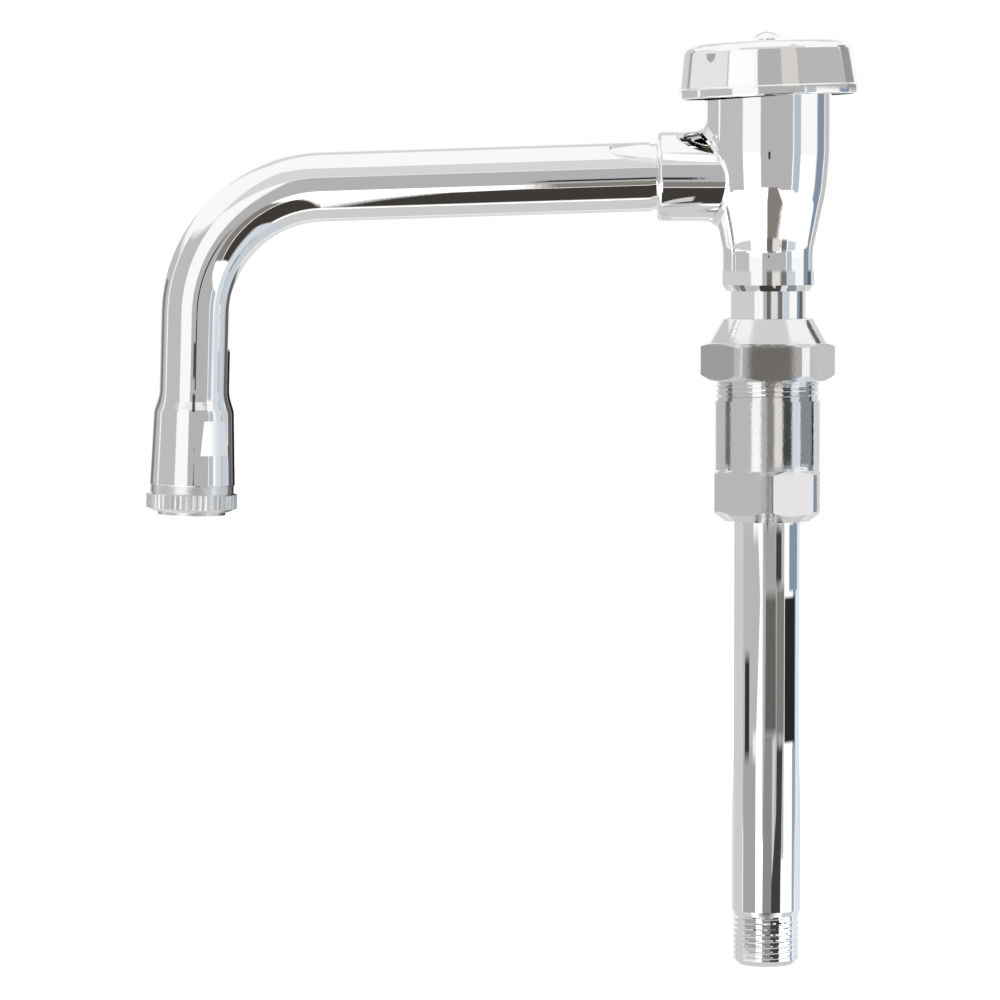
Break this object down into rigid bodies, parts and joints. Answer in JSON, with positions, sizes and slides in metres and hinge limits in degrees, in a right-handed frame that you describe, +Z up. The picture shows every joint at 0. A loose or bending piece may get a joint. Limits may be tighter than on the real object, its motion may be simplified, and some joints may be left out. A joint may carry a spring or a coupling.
{
  "type": "swivel faucet spout with vacuum breaker",
  "caption": "Polished swivel spout on a straight riser pipe, with a capped vacuum breaker body, a bent spout tube and a knurled outlet ring.",
  "frame": {"origin": "on the riser pipe's axis, at the hand-tight plane of its inlet thread, 6.1 mm above the pipe's lower end", "axes": "+Z up along the riser pipe, which is the swivel's axis; -X towards the spout's outlet; -Y towards the viewer"},
  "size_m": [0.1782, 0.0456, 0.2334],
  "materials": {
    "polished_chrome": "mirror-polished chrome plate on brass",
    "satin_chrome": "satin chrome plate, knurled",
    "brass": "turned brass",
    "rubber": "moulded black rubber",
    "acetal": "moulded white plastic"
  },
  "bodies": {
    "supply": {"riser_pipe": "polished_chrome", "swivel_body": "polished_chrome", "wear_washer": "acetal", "thrust_washer": "acetal", "swivel_nut": "polished_chrome"},
    "spout": {"swivel_stem": "polished_chrome", "lower_o_ring": "rubber", "upper_o_ring": "rubber", "breaker_body": "polished_chrome", "bonnet_gasket": "rubber", "air_bonnet": "brass", "breaker_cap": "polished_chrome", "cap_screw": "polished_chrome", "spout_nipple": "polished_chrome", "spout_tube": "polished_chrome", "outlet_fitting": "polished_chrome", "outlet_washer": "rubber", "outlet_ring": "satin_chrome", "stream_disc": "acetal"},
    "float": {"float": "acetal", "float_water_washer": "rubber", "float_air_washer": "rubber"}
  },
  "joints": [
    {"name": "swivel", "type": "hinge", "parent": "supply", "child": "spout", "pos_m": [0, 0, 0.135], "axis": [0, 0, 1], "continuous": true},
    {"name": "float_lift", "type": "slide", "parent": "spout", "child": "float", "axis": [0, 0, 1], "range_m": [0, 0.0034]}
  ]
}
